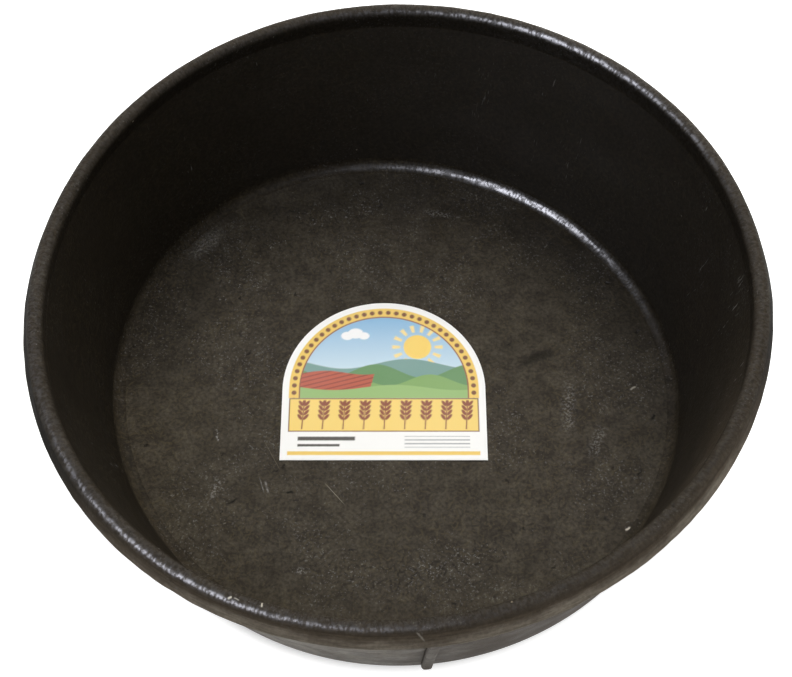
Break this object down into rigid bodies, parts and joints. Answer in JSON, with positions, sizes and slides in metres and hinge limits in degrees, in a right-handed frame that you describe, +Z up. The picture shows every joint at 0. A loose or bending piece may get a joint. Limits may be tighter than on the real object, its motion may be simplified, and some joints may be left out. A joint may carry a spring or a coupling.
{
  "type": "rubber feed tub",
  "caption": "Open round rubber tub with a flaring wall, thick rounded lip, outer stacking ribs and a stuck-on floor label, for feeding livestock.",
  "frame": {"origin": "centre of the flat face that the tub stands on", "axes": "+Z up through the mouth, -Y towards the front, where the label's straight edge is"},
  "size_m": [0.356, 0.356, 0.114],
  "materials": {
    "tub_rubber": "satin cord-flecked moulded rubber",
    "label_paper": "printed, lightly glossy",
    "label_glue": "clear pressure-sensitive glue"
  },
  "bodies": {
    "root": {"floor_slab": "tub_rubber", "heel_ring": "tub_rubber", "wall_band": "tub_rubber", "rim_lip": "tub_rubber", "stacking_rib_1": "tub_rubber", "stacking_rib_2": "tub_rubber", "stacking_rib_3": "tub_rubber", "stacking_rib_4": "tub_rubber", "label_adhesive": "label_glue", "label_face": "label_paper"}
  },
  "joints": []
}
